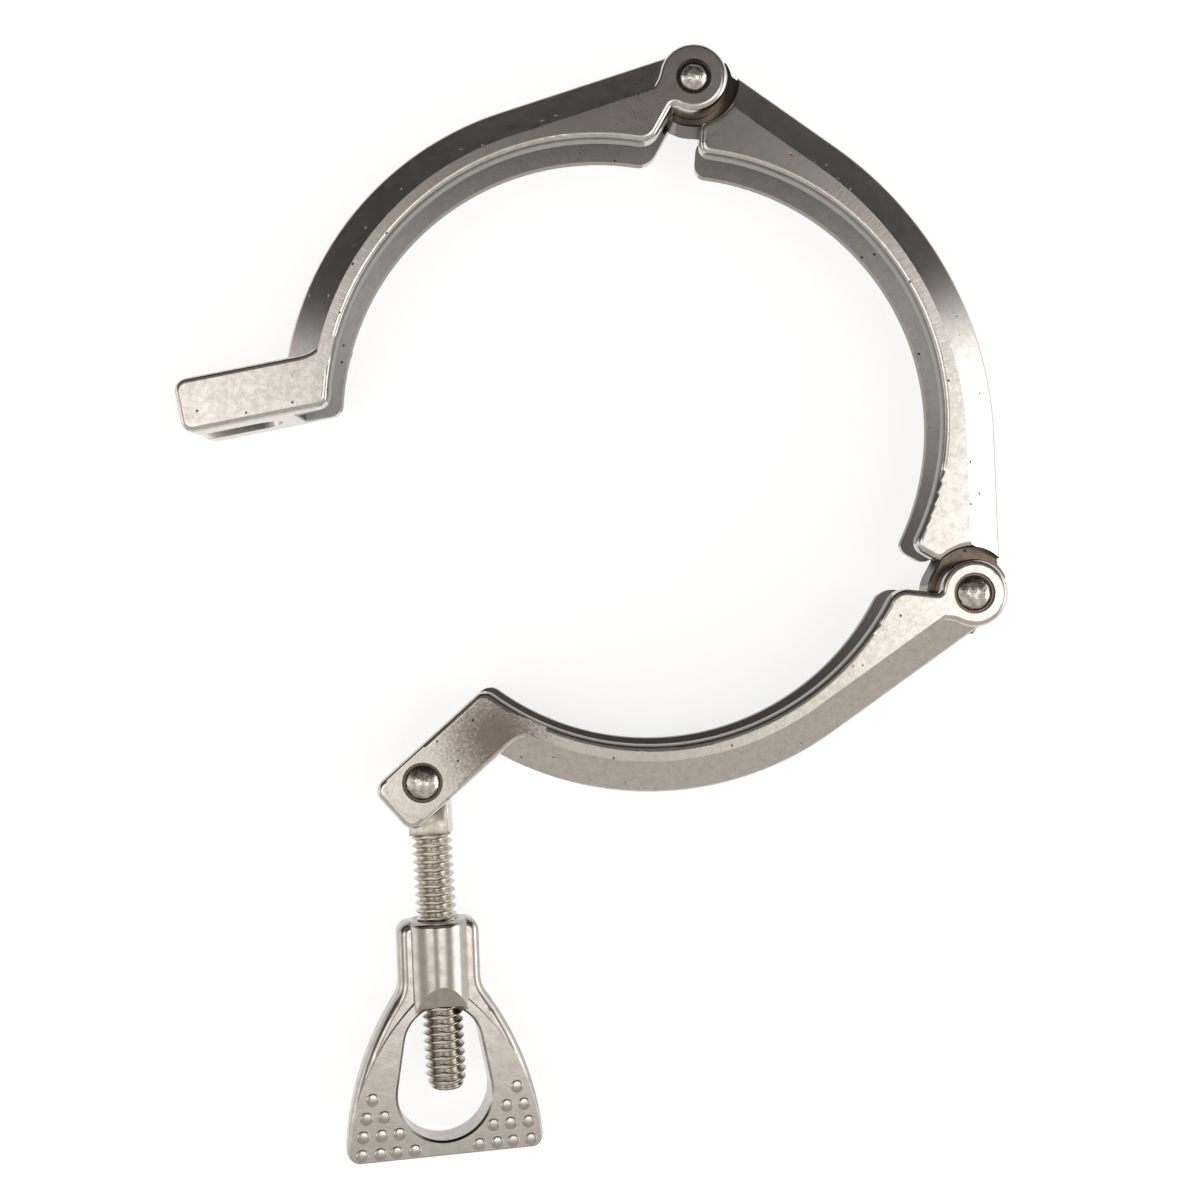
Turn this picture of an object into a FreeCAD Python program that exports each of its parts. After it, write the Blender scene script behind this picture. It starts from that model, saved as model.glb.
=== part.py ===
import FreeCAD, Part
import math
import os

# Hinged pipe clamp for 91 mm ferrule flanges: three cast segments on two hinge pins,
# closed by an eye bolt with a winged nut. Millimetres. The pipe axis is Z and the
# origin is the centre of the middle segment's groove. Every segment is drawn about
# the closed ring's centre, then swung about its hinge pin into the open rest pose.

# Channel section
CLAMP_WIDTH = 17.0        # along the pipe axis
FLANGE_RADIUS = 45.5      # ferrule flange that the groove takes
LIP_GRIP = 4.8            # from the flange rim in to the edge of the two lips
FLANGE_CLEARANCE = 0.5    # between the flange rim and the groove floor
GROOVE_MOUTH = 11.0       # groove width at the lips
GROOVE_TAPER = 20.0       # degrees, each flank
FLAT_WIDTH = 2.4          # radial width of the flat on each side of the section
BACK_WALL = 2.1           # from the groove floor to the back
BACK_WIDTH = 10.2         # width of the back between the two slopes
BACK_ROUND = 0.7
EDGE_ROUND = 0.95         # every cast edge of the front and rear faces

# Hinges
PIN_OUTSET = 4.2          # hinge pin outside the back of the section
UPPER_PIN_ANGLE = 86.9    # degrees from +X
LOWER_PIN_ANGLE = -29.8
PIN_RADIUS = 2.0
PIN_RUNNING_CLEARANCE = 0.05
EAR_RADIUS = 5.15
EAR_ROOT_ROUND = 5.0      # hollow between the ear and the slope behind it
EAR_NOTCH_ROUND = 0.6     # hollow between the ear and the end face
EAR_TAIL_OFFSET = 5.0     # pin centre to the straight back line of an eared segment
TONGUE_TAIL_OFFSET = 4.7  # the same, on the middle segment
TONGUE_LIMIT = 4.0        # pin centre to the outer side of the tongue
MIDDLE_BACK_OUTSET = 9.0  # centre of the middle segment's flatter back, behind the pipe axis
TONGUE_THICKNESS = 7.0
TONGUE_GAP = 0.25         # on each side of the tongue
TONGUE_ROOT = 15.0        # distance that the tongue reaches into its segment
TONGUE_ROOT_DEPTH = 23.0  # from the groove floor in to the foot of the tongue's blank
RELIEF_GAP = 0.6          # between the tongue's round end and the hollow it turns in
EAR_RELIEF_RADIUS = 7.0   # hollow round the ears in the middle segment
EAR_RELIEF_CORNER = 1.6   # rounding between that hollow and the end face
EAR_RELIEF_REACH = 100.0  # degrees that the hollow runs round the pin from the pipe side
EAR_END_SETBACK = 1.8     # end face of an eared segment, from the pin's radial plane
EAR_END_SLANT = 13.0      # degrees, opens towards the pipe
TONGUE_END_SETBACK = 1.4  # the same, on the middle segment

# Rounding of the segments' inner corners in plan
EARED_CORNER = 3.0
TONGUED_CORNER = 1.8
LUG_INNER_CORNER = 2.1

# Rivets
UPPER_HEAD_RADIUS = 2.25
LOWER_HEAD_RADIUS = 2.7
BOLT_HEAD_RADIUS = 2.65
HEAD_HEIGHT = 1.3
HEAD_SINK = 0.45          # depth of the round seat under the head
HEAD_SEAT_GAP = 0.35

# Lugs
LUG_CORNER = 2.0
LUG_ROOT_ROUND = 4.5      # hollow between a lug and the ring's slope
ROOT_SINK = 0.15          # end of every root hollow, inside the flat's outer edge

# Slotted lug
SLOTTED_LUG_DIRECTION = 204.5
SLOTTED_LUG_START = 192.7  # angle where its inner face meets the lips
SLOTTED_LUG_THICKNESS = 8.4
SLOTTED_LUG_LENGTH = 14.2  # back of the section to the outer end, along the lug
BOLT_SLOT_CLEARANCE = 0.4  # each side of the bolt
BOLT_SLOT_OUTSET = 0.2     # back of the section to the round end of the slot

# Bolt lug
BOLT_LUG_DIRECTION = 212.1
BOLT_LUG_START = 221.7
BOLT_LUG_THICKNESS = 9.1
BOLT_LUG_END = 6.5         # bolt pin to the outer end
BOLT_PIN_OUTSET = 8.5      # back of the section to the bolt pin, along the lug
BOLT_PIN_DEPTH = 4.4       # lug's closing face to the bolt pin
SPOT_FACE_RADIUS = 5.4     # ground flat under the bolt pin's head
SPOT_FACE_DEPTH = 0.12

# Swing bolt
THREAD_RADIUS = 3.175
EYE_RADIUS = 4.1
EYE_THICKNESS = 6.0
EYE_GAP = 0.3              # on each side of the eye
EYE_ROOT_GAP = 1.2         # around the eye at the bottom of the clevis
NECK_LENGTH = 8.7
BOLT_LENGTH = 48.4         # bolt pin to the end
BOLT_POINT = 1.1

# Wing nut
NUT_DISTANCE = 22.0        # bolt pin to the top of the boss
NUT_RUNNING_CLEARANCE = 0.075
BORE_MOUTH_RADIUS = 3.75
BOSS_RADIUS = 5.1
BOSS_ROUND = 1.0
RAMP_START = 9.9           # top of the boss to the slope that ends it
RAMP_END = 14.0
NUT_LENGTH = 36.6
WING_THICKNESS = 5.4
SHOULDER_HALF_WIDTH = 6.35
SHOULDER_LENGTH = 10.6
SHOULDER_ROUND = 5.0
WING_HALF_WIDTH = 15.4
WING_BULGE = 0.075         # rise of the wing's side over its chord
WING_CORNER = 2.0
WING_EDGE_ROUND = 1.4
PANEL_HEIGHT = 0.3         # raised face on each side of the wing
PANEL_TOP = 12.2
PANEL_TOP_HALF_WIDTH = 4.1
PANEL_INSET = 0.35         # at the foot of the wing
PANEL_BULGE = 0.1
PANEL_EDGE_ROUND = 0.25
WINDOW_TOP = 13.2          # top of the boss to the finger window
WINDOW_TOP_RADIUS = 6.0
WINDOW_RADIUS = 7.3
WINDOW_RIM = 2.65          # below the window
WINDOW_EDGE = 0.35         # bevel round the window

# Rest pose
UPPER_OPENING = 13.25      # degrees from the closed ring
LOWER_OPENING = 10.15
BOLT_DIRECTION = 273.5     # in the rest pose, degrees from +X
NUT_YAW = -12.0            # wing turned about the bolt, left side raised
CASTING_LEAN = -1.3        # wing nut's casting, off the axis of its bore

# Values that follow
LIP_RADIUS = FLANGE_RADIUS - LIP_GRIP
FLOOR_RADIUS = FLANGE_RADIUS + FLANGE_CLEARANCE
BACK_RADIUS = FLOOR_RADIUS + BACK_WALL
FLAT_RADIUS = LIP_RADIUS + FLAT_WIDTH
ROOT_RADIUS = FLAT_RADIUS - ROOT_SINK
PIN_CIRCLE = BACK_RADIUS + PIN_OUTSET
SLOTTED_LUG_REACH = BACK_RADIUS + SLOTTED_LUG_LENGTH
BOLT_SLOT_REACH = BACK_RADIUS + BOLT_SLOT_OUTSET
BOLT_PIN_REACH = BACK_RADIUS + BOLT_PIN_OUTSET
HALF_WIDTH = CLAMP_WIDTH / 2
TONGUE_SLOT = TONGUE_THICKNESS + 2 * TONGUE_GAP
CLEVIS_SLOT = EYE_THICKNESS + 2 * EYE_GAP
PIN_HOLE_RADIUS = PIN_RADIUS + PIN_RUNNING_CLEARANCE
FAR = 2 * PIN_CIRCLE
MIDDLE_ANGLE = (UPPER_PIN_ANGLE + LOWER_PIN_ANGLE) / 2
MIDDLE_HALF_SPAN = (UPPER_PIN_ANGLE - LOWER_PIN_ANGLE) / 2
ARC_OVERRUN = 15.0         # degrees that an arc runs past a face which trims it
TOOL_MARGIN = 1.0          # length that a cutting tool stands out of what it cuts
CLOSE = 1e-6
Z_AXIS = FreeCAD.Vector(0, 0, 1)
X_AXIS = FreeCAD.Vector(1, 0, 0)
ORIGIN = FreeCAD.Vector(0, 0, 0)


def polar(radius, degrees, z=0.0):
    """Point at a radius and an angle from +X."""
    turn = math.radians(degrees)
    return FreeCAD.Vector(radius * math.cos(turn), radius * math.sin(turn), z)


def plate_from_edges(edges, thickness):
    """Plate from a closed run of edges, centred on the mid-plane."""
    plate = Part.Face(Part.Wire(edges)).extrude(Z_AXIS * thickness)
    plate.translate(Z_AXIS * (-thickness / 2))
    return plate


def prism(points, thickness):
    """Straight-sided plate centred on the mid-plane."""
    return plate_from_edges(Part.makePolygon(points + [points[0]]).Edges, thickness)


def disc(centre, radius, thickness):
    """Round plate centred on the mid-plane."""
    return Part.makeCylinder(radius, thickness, centre - Z_AXIS * (thickness / 2), Z_AXIS)


def ring(inner, outer, thickness):
    """Flat ring about the pipe axis."""
    return disc(ORIGIN, outer, thickness).cut(disc(ORIGIN, inner, thickness))


def arc_about(centre, start, end):
    """Shorter arc between two points about a centre."""
    radius = (start - centre).Length
    outward = (start - centre) + (end - centre)
    return Part.Arc(start, centre + outward.normalize() * radius, end).toShape()


def upright_edges(shape):
    """Edges that run along Z."""
    return [e for e in shape.Edges if abs(e.BoundBox.ZLength - e.Length) < CLOSE]


def corner_edges(shape, point):
    """Upright edges at a point of the plan."""
    return [
        e for e in upright_edges(shape)
        if math.hypot(e.Vertexes[0].X - point.x, e.Vertexes[0].Y - point.y) < CLOSE
    ]


def rim_edges(shape, half):
    """Edges that lie in the two faces at +half and -half."""
    return [
        e for e in shape.Edges
        if e.BoundBox.ZLength < CLOSE and abs(abs(e.BoundBox.ZMin) - half) < CLOSE
    ]


def soften(plate, hidden, amount):
    """Round the rims of a full-width plate, but not those along the hidden edges."""
    middles = [e.CenterOfMass for e in hidden]
    rims = [
        e for e in rim_edges(plate, HALF_WIDTH)
        if all(math.hypot(e.CenterOfMass.x - m.x, e.CenterOfMass.y - m.y) > CLOSE for m in middles)
    ]
    return plate.makeFillet(amount, rims)


def section_wire(outset):
    """Outer outline of the channel section in the XZ plane; its inner side is trimmed later.

    The origin is the centre of the back's arc, which lies an outset behind the pipe axis.
    """
    half_back = BACK_WIDTH / 2
    slope = math.atan2(HALF_WIDTH - half_back, BACK_RADIUS - FLAT_RADIUS)
    cut = BACK_ROUND * math.tan((math.pi / 2 - slope) / 2)
    along = FreeCAD.Vector(math.cos(slope), 0, -math.sin(slope))
    corner = FreeCAD.Vector(BACK_RADIUS, 0, half_back)
    slope_end = corner - along * cut
    back_end = corner - Z_AXIS * cut
    hub = FreeCAD.Vector(BACK_RADIUS - BACK_ROUND, 0, half_back - cut)
    inner = FreeCAD.Vector(LIP_RADIUS * BACK_RADIUS / PIN_CIRCLE - outset, 0, HALF_WIDTH)
    flat_end = FreeCAD.Vector(FLAT_RADIUS, 0, HALF_WIDTH)
    upper = [
        Part.makeLine(inner, flat_end),
        Part.makeLine(flat_end, slope_end),
        arc_about(hub, slope_end, back_end),
    ]
    lower = [e.mirror(ORIGIN, Z_AXIS) for e in upper]
    back = Part.makeLine(back_end, FreeCAD.Vector(back_end.x, 0, -back_end.z))
    front = Part.makeLine(inner, FreeCAD.Vector(inner.x, 0, -inner.z))
    wire = Part.Wire(Part.__sortEdges__(upper + lower + [back, front]))
    wire.translate(X_AXIS * outset)
    return wire


def arc_body(start, end, centre=ORIGIN):
    """Solid section swept between two angles about the centre of the back's arc."""
    face = Part.Face(section_wire(centre.Length))
    body = face.revolve(ORIGIN, Z_AXIS, end - start)
    body.rotate(ORIGIN, Z_AXIS, start)
    body.translate(centre)
    return body


def groove_tool():
    """V groove that takes the ferrule flanges, all the way round."""
    spread = math.tan(math.radians(GROOVE_TAPER))
    inner = LIP_RADIUS - EDGE_ROUND
    inner_half = GROOVE_MOUTH / 2 + EDGE_ROUND * spread
    floor_half = GROOVE_MOUTH / 2 - (FLOOR_RADIUS - LIP_RADIUS) * spread
    points = [
        FreeCAD.Vector(inner, 0, -inner_half),
        FreeCAD.Vector(FLOOR_RADIUS, 0, -floor_half),
        FreeCAD.Vector(FLOOR_RADIUS, 0, floor_half),
        FreeCAD.Vector(inner, 0, inner_half),
    ]
    face = Part.Face(Part.makePolygon(points + [points[0]]))
    return face.revolve(ORIGIN, Z_AXIS, 360)


def hinge_place(shape, pin_angle, side):
    """Move a shape drawn with the pin on +Y and the body towards -X to its hinge."""
    placed = shape if side > 0 else shape.mirror(ORIGIN, X_AXIS)
    placed = placed.copy()
    placed.rotate(ORIGIN, Z_AXIS, pin_angle - 90)
    return placed


def pin_point():
    """The hinge pin in the drawing position."""
    return FreeCAD.Vector(0, PIN_CIRCLE, 0)


def angle_of(vector):
    """Degrees of a vector from +X."""
    return math.degrees(math.atan2(vector.y, vector.x))


def back_centre(outset):
    """Centre of the back's arc in the drawing position."""
    return polar(outset, 90 + MIDDLE_HALF_SPAN + 180)


def tail_lean(offset, outset=0.0):
    """Degrees from the hinge pin to the start of the straight back line beside it."""
    reach = (pin_point() - back_centre(outset)).Length
    return math.degrees(math.acos((BACK_RADIUS + outset - offset) / reach))


def tail(offset, outset=0.0):
    """Straight run of the section, tangent to the arc, up beside the hinge pin."""
    to_pin = pin_point() - back_centre(outset)
    lean = tail_lean(offset, outset)
    face = Part.Face(section_wire(outset))
    length = to_pin.Length * math.sin(math.radians(lean))
    body = face.extrude(FreeCAD.Vector(0, -length, 0))
    body.rotate(ORIGIN, Z_AXIS, angle_of(to_pin) + lean)
    body.translate(back_centre(outset))
    return body


def end_point(setback, slant, y):
    """Point of an end face in the drawing position, at a height above the ring centre."""
    lean = math.tan(math.radians(slant))
    return FreeCAD.Vector(-setback + lean * (y - PIN_CIRCLE + EAR_RADIUS), y, 0)


def ear_notch():
    """Point where the ear's circle meets the end face, in the drawing position."""
    lean = math.tan(math.radians(EAR_END_SLANT))
    level = end_point(EAR_END_SETBACK, EAR_END_SLANT, PIN_CIRCLE).x
    square = 1 + lean ** 2
    root = (level * lean) ** 2 - square * (level ** 2 - EAR_RADIUS ** 2)
    rise = (-level * lean - math.sqrt(root)) / square
    return end_point(EAR_END_SETBACK, EAR_END_SLANT, PIN_CIRCLE + rise)


def ear_plate():
    """Full-width ear, its hollow root in the slope and its foot on the end face."""
    lean = tail_lean(EAR_TAIL_OFFSET)
    outward = polar(1, 90 + lean)
    inward = polar(1, 180 + lean)
    pin = pin_point()
    rise = ROOT_RADIUS - pin.dot(outward) + EAR_ROOT_ROUND
    run = math.sqrt((EAR_RADIUS + EAR_ROOT_ROUND) ** 2 - rise ** 2)
    hub = pin + outward * rise + inward * run
    on_flat = hub - outward * EAR_ROOT_ROUND
    on_ear = pin + (hub - pin).normalize() * EAR_RADIUS
    notch = ear_notch()
    foot = end_point(EAR_END_SETBACK, EAR_END_SLANT, LIP_RADIUS + EARED_CORNER)
    buried = on_flat - outward * EAR_ROOT_ROUND
    far_side = pin + FreeCAD.Vector(EAR_RADIUS, 0, 0)
    hidden = [Part.makeLine(foot, buried), Part.makeLine(buried, on_flat)]
    edges = [
        arc_about(hub, on_flat, on_ear),
        Part.Arc(on_ear, far_side, notch).toShape(),
        Part.makeLine(notch, foot),
    ]
    plate = plate_from_edges(edges + hidden, CLAMP_WIDTH)
    plate = plate.makeFillet(EAR_NOTCH_ROUND, corner_edges(plate, notch))
    return soften(plate, hidden, EDGE_ROUND)


def tongue():
    """Centre tongue: a round end about the pin, flush with the groove floor inside."""
    end_radius = PIN_CIRCLE - FLOOR_RADIUS
    round_end = disc(pin_point(), end_radius, TONGUE_THICKNESS)
    limits = ring(FLOOR_RADIUS, PIN_CIRCLE + TONGUE_LIMIT, TONGUE_THICKNESS)
    centre = back_centre(MIDDLE_BACK_OUTSET)
    start = angle_of(pin_point() - centre)
    body = arc_body(start, start + ARC_OVERRUN, centre)
    body = body.fuse(tail(TONGUE_TAIL_OFFSET, MIDDLE_BACK_OUTSET))
    foot = FLOOR_RADIUS - TONGUE_ROOT_DEPTH
    slab = prism(
        [
            FreeCAD.Vector(-TONGUE_ROOT, foot, 0),
            FreeCAD.Vector(0, foot, 0),
            FreeCAD.Vector(0, FAR, 0),
            FreeCAD.Vector(-TONGUE_ROOT, FAR, 0),
        ],
        TONGUE_THICKNESS,
    )
    root = body.common(slab).cut(disc(ORIGIN, FLOOR_RADIUS, CLAMP_WIDTH))
    return round_end.common(limits).fuse(root)


def lip_level(setback):
    """Height at which a line beside the pin's radial plane meets the lips."""
    return math.sqrt(LIP_RADIUS ** 2 - setback ** 2)


def eared_run(pin_angle, side):
    """End-face line of an eared segment, in the ring."""
    level = lip_level(EAR_END_SETBACK)
    line = Part.makeLine(*[end_point(EAR_END_SETBACK, EAR_END_SLANT, y) for y in (level, FAR)])
    return [hinge_place(line, pin_angle, side)]


def tongued_run(pin_angle, side):
    """End line of the middle segment: out to the hollow round the ears, then round it."""
    pin = pin_point()
    drop = math.sqrt(EAR_RELIEF_RADIUS ** 2 - TONGUE_END_SETBACK ** 2)
    entry = pin + FreeCAD.Vector(-TONGUE_END_SETBACK, -drop, 0)
    middle, leave = [
        pin + polar(EAR_RELIEF_RADIUS, 270 - turn) for turn in (EAR_RELIEF_REACH / 2, EAR_RELIEF_REACH)
    ]
    lips = FreeCAD.Vector(-TONGUE_END_SETBACK, lip_level(TONGUE_END_SETBACK), 0)
    tangent = polar(1, 180 - EAR_RELIEF_REACH)
    run = [
        Part.makeLine(lips, entry),
        Part.Arc(entry, middle, leave).toShape(),
        Part.makeLine(leave, leave + tangent * FAR),
    ]
    return [hinge_place(edge, pin_angle, side) for edge in run]


def lug_run(direction, start_angle):
    """Closing-face line of a lug, in the ring."""
    along, across = lug_frame(direction)
    level = lug_face_level(direction, start_angle)
    return [Part.makeLine(polar(LIP_RADIUS, start_angle), along * FAR + across * level)]


def run_points(run):
    """Points of a run of edges, from the lips outwards."""
    return sorted((v.Point for edge in run for v in edge.Vertexes), key=lambda p: p.Length)


def wedge(first, first_corner, last, last_corner):
    """Plan limits of a segment between two end runs, with rounded corners and rims.

    Each run goes from the lips outwards; first is clockwise of last.
    """
    inner_start = run_points(first)[0]
    inner_end = run_points(last)[0]
    start_angle = angle_of(inner_start)
    end_angle = angle_of(inner_end)
    if end_angle < start_angle:
        end_angle += 360
    middle = (start_angle + end_angle) / 2
    outer = Part.Arc(
        run_points(last)[-1], polar(2 * FAR, middle), run_points(first)[-1]
    ).toShape()
    inner = Part.Arc(inner_start, polar(LIP_RADIUS, middle), inner_end).toShape()
    plate = plate_from_edges(Part.__sortEdges__([inner, outer] + first + last), CLAMP_WIDTH)
    plate = plate.makeFillet(first_corner, corner_edges(plate, inner_start))
    plate = plate.makeFillet(last_corner, corner_edges(plate, inner_end))
    entries = [run_points(run)[1] for run in (first, last) if len(run) > 1]
    for point in entries:
        plate = plate.makeFillet(EAR_RELIEF_CORNER, corner_edges(plate, point))
    return soften(plate, [outer], EDGE_ROUND)


def lug_frame(direction):
    """Unit vectors along a lug and across it, towards the other lug's bolt side."""
    return polar(1, direction), polar(1, direction - 90)


def lug_face_level(direction, start_angle):
    """Offset across the lug of the face that meets the lips at an angle."""
    across = lug_frame(direction)[1]
    return polar(LIP_RADIUS, start_angle).dot(across)


def lug_plate(direction, closing, back, reach):
    """Full-width lug between its closing face and its back, with a hollow root behind."""
    along, across = lug_frame(direction)
    outward = math.copysign(1, back - closing)
    hub_level = back + outward * LUG_ROOT_ROUND
    hub_run = math.sqrt((ROOT_RADIUS + LUG_ROOT_ROUND) ** 2 - hub_level ** 2)
    hub = along * hub_run + across * hub_level
    on_back = along * hub_run + across * back
    on_flat = hub * (ROOT_RADIUS / hub.Length)
    buried = on_flat * (LIP_RADIUS / ROOT_RADIUS)
    near = along * math.sqrt(FLAT_RADIUS ** 2 - closing ** 2) + across * closing
    closing_end = along * reach + across * closing
    back_end = along * reach + across * back
    hidden = [Part.makeLine(on_flat, buried), Part.makeLine(buried, near)]
    edges = [
        Part.makeLine(near, closing_end),
        Part.makeLine(closing_end, back_end),
        Part.makeLine(back_end, on_back),
        arc_about(hub, on_back, on_flat),
    ]
    plate = plate_from_edges(edges + hidden, CLAMP_WIDTH)
    corners = corner_edges(plate, closing_end) + corner_edges(plate, back_end)
    plate = plate.makeFillet(LUG_CORNER, corners)
    return soften(plate, hidden, EDGE_ROUND)


def slot_tool(direction, low, high, inner, width):
    """Slot through a lug in its mid-plane, open at the outer end."""
    along, across = lug_frame(direction)
    return prism(
        [
            along * inner + across * low,
            along * FAR + across * low,
            along * FAR + across * high,
            along * inner + across * high,
        ],
        width,
    )


def swing(shape, pivot, degrees):
    """Turn a shape about an upright pivot."""
    turned = shape.copy()
    turned.rotate(pivot, Z_AXIS, degrees)
    return turned


def head_seats(centre, head_radius):
    """Round seats for a rivet's heads on both sides."""
    radius = head_radius + HEAD_SEAT_GAP
    top = Part.makeCylinder(radius, HEAD_SINK, centre + Z_AXIS * (HALF_WIDTH - HEAD_SINK))
    low = Part.makeCylinder(radius, HEAD_SINK, centre - Z_AXIS * HALF_WIDTH)
    return top.fuse(low)


def rivet(centre, head_radius):
    """Pin with a domed head in front and a head peened flush behind."""
    seat = HALF_WIDTH - HEAD_SINK
    shank = Part.makeCylinder(PIN_RADIUS, 2 * seat, centre - Z_AXIS * seat)
    dome_radius = (head_radius ** 2 + HEAD_HEIGHT ** 2) / (2 * HEAD_HEIGHT)
    ball = Part.makeSphere(dome_radius, centre + Z_AXIS * (seat + HEAD_HEIGHT - dome_radius))
    head = Part.makeCylinder(head_radius, HEAD_HEIGHT, centre + Z_AXIS * seat).common(ball)
    foot = Part.makeCylinder(head_radius, HEAD_SINK, centre - Z_AXIS * HALF_WIDTH)
    foot = foot.makeFillet(HEAD_SINK / 2, [
        e for e in foot.Edges if abs(e.BoundBox.ZMax + HALF_WIDTH) < CLOSE
    ])
    return shank.fuse(head).fuse(foot).removeSplitter()


def pin_hole(centre, radius):
    """Tool for a hole along Z through the whole clamp."""
    return disc(centre, radius, CLAMP_WIDTH + 2 * TOOL_MARGIN)


def eared_end(body, pin_angle, side, head_radius):
    """Add the two ears, then cut the slot for the tongue, the pin hole and head seats."""
    centre = polar(PIN_CIRCLE, pin_angle)
    body = body.fuse(hinge_place(ear_plate(), pin_angle, side))
    body = body.cut(groove_tool())
    body = body.cut(disc(centre, PIN_CIRCLE - FLOOR_RADIUS + RELIEF_GAP, TONGUE_SLOT))
    return body.cut(pin_hole(centre, PIN_RADIUS)).cut(head_seats(centre, head_radius))


def bolt_slot_tool(closing, back):
    """Round-ended slot that the bolt swings into."""
    along, across = lug_frame(SLOTTED_LUG_DIRECTION)
    radius = THREAD_RADIUS + BOLT_SLOT_CLEARANCE
    hub = BOLT_SLOT_REACH + radius
    straight = slot_tool(
        SLOTTED_LUG_DIRECTION, closing - TOOL_MARGIN, back + TOOL_MARGIN, hub, 2 * radius
    )
    round_end = Part.makeCylinder(
        radius, back - closing + 2 * TOOL_MARGIN,
        along * hub + across * (closing - TOOL_MARGIN), across,
    )
    return straight.fuse(round_end)


def slotted_segment():
    """Eared segment with the open-ended slotted lug, closed position."""
    closing = lug_face_level(SLOTTED_LUG_DIRECTION, SLOTTED_LUG_START)
    back = closing + SLOTTED_LUG_THICKNESS
    first = eared_run(UPPER_PIN_ANGLE, 1)
    last = lug_run(SLOTTED_LUG_DIRECTION, SLOTTED_LUG_START)
    body = arc_body(UPPER_PIN_ANGLE, SLOTTED_LUG_START + ARC_OVERRUN)
    body = body.fuse(hinge_place(tail(EAR_TAIL_OFFSET), UPPER_PIN_ANGLE, 1))
    body = body.common(wedge(first, EARED_CORNER, last, LUG_INNER_CORNER))
    body = body.fuse(lug_plate(SLOTTED_LUG_DIRECTION, closing, back, SLOTTED_LUG_REACH))
    body = eared_end(body, UPPER_PIN_ANGLE, 1, UPPER_HEAD_RADIUS)
    return body.cut(bolt_slot_tool(closing, back)).removeSplitter()


def bolt_pin_centre():
    """Bolt pin in the closed ring."""
    along, across = lug_frame(BOLT_LUG_DIRECTION)
    level = lug_face_level(BOLT_LUG_DIRECTION, BOLT_LUG_START)
    return along * BOLT_PIN_REACH + across * (level - BOLT_PIN_DEPTH)


def spot_face(centre):
    """Shallow ground flat on the front face."""
    start = centre + Z_AXIS * (HALF_WIDTH - SPOT_FACE_DEPTH)
    return Part.makeCylinder(SPOT_FACE_RADIUS, SPOT_FACE_DEPTH + TOOL_MARGIN, start)


def bolt_segment():
    """Eared segment with the forked lug that carries the bolt, closed position."""
    closing = lug_face_level(BOLT_LUG_DIRECTION, BOLT_LUG_START)
    back = closing - BOLT_LUG_THICKNESS
    centre = bolt_pin_centre()
    first = lug_run(BOLT_LUG_DIRECTION, BOLT_LUG_START)
    last = eared_run(LOWER_PIN_ANGLE, -1)
    body = arc_body(BOLT_LUG_START - ARC_OVERRUN, LOWER_PIN_ANGLE + 360)
    body = body.fuse(hinge_place(tail(EAR_TAIL_OFFSET), LOWER_PIN_ANGLE, -1))
    body = body.common(wedge(first, LUG_INNER_CORNER, last, EARED_CORNER))
    reach = BOLT_PIN_REACH + BOLT_LUG_END
    body = body.fuse(lug_plate(BOLT_LUG_DIRECTION, closing, back, reach))
    body = eared_end(body, LOWER_PIN_ANGLE, -1, LOWER_HEAD_RADIUS)
    slot_root = BOLT_PIN_REACH - EYE_RADIUS - EYE_ROOT_GAP
    slot = slot_tool(
        BOLT_LUG_DIRECTION, back - TOOL_MARGIN, closing + TOOL_MARGIN, slot_root, CLEVIS_SLOT
    )
    body = body.cut(spot_face(centre)).cut(slot).cut(pin_hole(centre, PIN_RADIUS))
    return body.cut(head_seats(centre, BOLT_HEAD_RADIUS)).removeSplitter()


def middle_segment():
    """Segment with a centre tongue at both ends."""
    first = tongued_run(LOWER_PIN_ANGLE, 1)
    last = tongued_run(UPPER_PIN_ANGLE, -1)
    centre = polar(-MIDDLE_BACK_OUTSET, MIDDLE_ANGLE)
    start, end = [
        angle_of(polar(PIN_CIRCLE, angle) - centre) for angle in (LOWER_PIN_ANGLE, UPPER_PIN_ANGLE)
    ]
    body = arc_body(start, end, centre)
    straight = tail(TONGUE_TAIL_OFFSET, MIDDLE_BACK_OUTSET)
    for angle, side in ((LOWER_PIN_ANGLE, 1), (UPPER_PIN_ANGLE, -1)):
        body = body.fuse(hinge_place(straight, angle, side))
    body = body.common(wedge(first, TONGUED_CORNER, last, TONGUED_CORNER))
    body = body.cut(groove_tool())
    for angle, side in ((LOWER_PIN_ANGLE, 1), (UPPER_PIN_ANGLE, -1)):
        body = body.fuse(hinge_place(tongue(), angle, side))
        body = body.cut(pin_hole(polar(PIN_CIRCLE, angle), PIN_HOLE_RADIUS))
    return body.removeSplitter()


def swing_bolt():
    """Eye bolt along +X from its pin, with the thread at its major diameter."""
    eye = disc(ORIGIN, EYE_RADIUS, EYE_THICKNESS)
    neck = Part.makeBox(
        NECK_LENGTH, 2 * THREAD_RADIUS, EYE_THICKNESS,
        FreeCAD.Vector(0, -THREAD_RADIUS, -EYE_THICKNESS / 2),
    )
    start = X_AXIS * (NECK_LENGTH - THREAD_RADIUS / 2)
    shank = Part.makeCylinder(THREAD_RADIUS, BOLT_LENGTH - start.x, start, X_AXIS)
    tip = [e for e in shank.Edges if abs(e.BoundBox.XMin - BOLT_LENGTH) < CLOSE]
    shank = shank.makeChamfer(BOLT_POINT, tip)
    body = eye.fuse(neck).fuse(shank)
    return body.cut(disc(ORIGIN, PIN_HOLE_RADIUS, CLAMP_WIDTH)).removeSplitter()


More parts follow.
